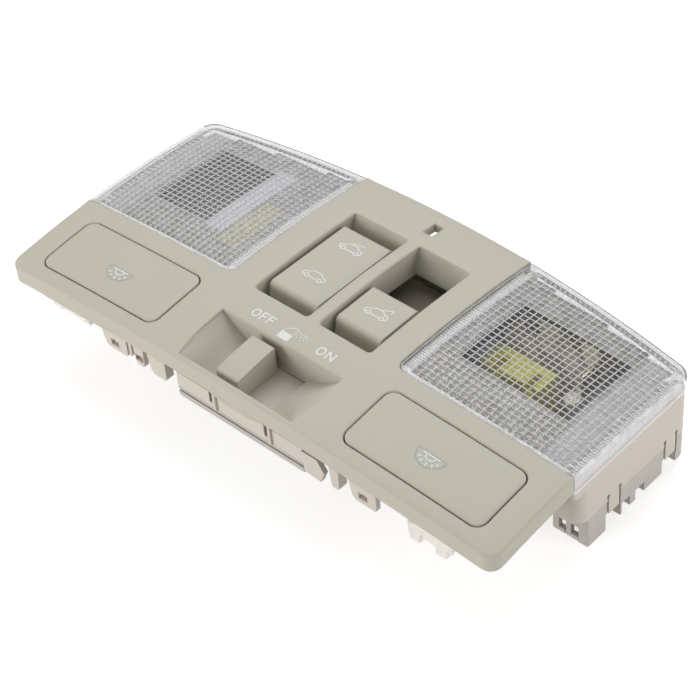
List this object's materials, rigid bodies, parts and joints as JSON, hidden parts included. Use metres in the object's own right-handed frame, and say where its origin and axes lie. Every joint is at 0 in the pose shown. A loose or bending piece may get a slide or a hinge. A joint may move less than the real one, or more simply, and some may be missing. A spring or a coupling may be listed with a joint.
{
  "type": "car dome light",
  "caption": "Crowned overhead lamp console with ribbed clear lenses at both back corners, wide push buttons in front, roof rockers in the middle and a scooped slide switch.",
  "frame": {"origin": "centre of the bounding box's underside, on the plane of the rear cover's feet", "axes": "+X to the right along the long face, +Y to the curved back edge, +Z out of the crowned face"},
  "size_m": [0.236, 0.118, 0.048],
  "materials": {
    "face_plastic": "fine grain, satin",
    "housing_plastic": "satin",
    "cover_plastic": "satin",
    "clear_plastic": "clear, fluted",
    "reflector_plastic": "metallised",
    "holder_plastic": "moulded",
    "bulb_glass": "clear",
    "contact_brass": "rolled",
    "steel": "plain",
    "switch_plastic": "moulded",
    "carriage_plastic": "moulded",
    "board": "coated board",
    "connector_plastic": "moulded"
  },
  "bodies": {
    "console": {"fascia": "face_plastic", "housing": "housing_plastic", "rear_cover": "cover_plastic", "lens_left": "clear_plastic", "lens_right": "clear_plastic", "reflector_left": "reflector_plastic", "reflector_right": "reflector_plastic", "bulb_holder_left": "holder_plastic", "bulb_holder_right": "holder_plastic", "bulb_left": "bulb_glass", "bulb_right": "bulb_glass", "contacts_left": "contact_brass", "contacts_right": "contact_brass", "button_carrier_left": "housing_plastic", "button_carrier_right": "housing_plastic", "light_guide_left": "clear_plastic", "light_guide_right": "clear_plastic", "button_spring_left": "steel", "button_spring_right": "steel", "push_switch_left": "switch_plastic", "push_switch_right": "switch_plastic", "rocker_base": "switch_plastic", "slide_switch_base": "switch_plastic", "circuit_board": "board", "connector": "connector_plastic", "cover_screws": "steel"},
    "map_button_left": {"map_button_left": "face_plastic"},
    "map_button_right": {"map_button_right": "face_plastic"},
    "slide_rocker": {"slide_rocker": "face_plastic", "slide_rocker_pin": "steel"},
    "tilt_rocker": {"tilt_rocker": "face_plastic", "tilt_rocker_pin": "steel"},
    "dome_knob": {"dome_knob": "face_plastic", "knob_carriage": "carriage_plastic"}
  },
  "joints": [
    {"name": "press_left", "type": "slide", "parent": "console", "child": "map_button_left", "axis": [0, 0, -1], "range_m": [0, 0.0016], "stiffness_N_per_m": 900, "springref_m": -0.0006, "deforming": ["button_spring_left"]},
    {"name": "press_right", "type": "slide", "parent": "console", "child": "map_button_right", "axis": [0, 0, -1], "range_m": [0, 0.0016], "stiffness_N_per_m": 900, "springref_m": -0.0006, "deforming": ["button_spring_right"]},
    {"name": "slide_rocker_tilt", "type": "hinge", "parent": "console", "child": "slide_rocker", "pos_m": [-0.0143, 0.00965, 0.0385], "axis": [1, 0, 0], "range_deg": [-5, 5], "stiffness_Nm_per_rad": 0.6},
    {"name": "tilt_rocker_tilt", "type": "hinge", "parent": "console", "child": "tilt_rocker", "pos_m": [0.0166, 0.0004, 0.0385], "axis": [1, 0, 0], "range_deg": [-6, 6], "stiffness_Nm_per_rad": 0.4},
    {"name": "dome_knob_slide", "type": "slide", "parent": "console", "child": "dome_knob", "axis": [1, 0, 0], "range_m": [0, 0.0124]}
  ]
}
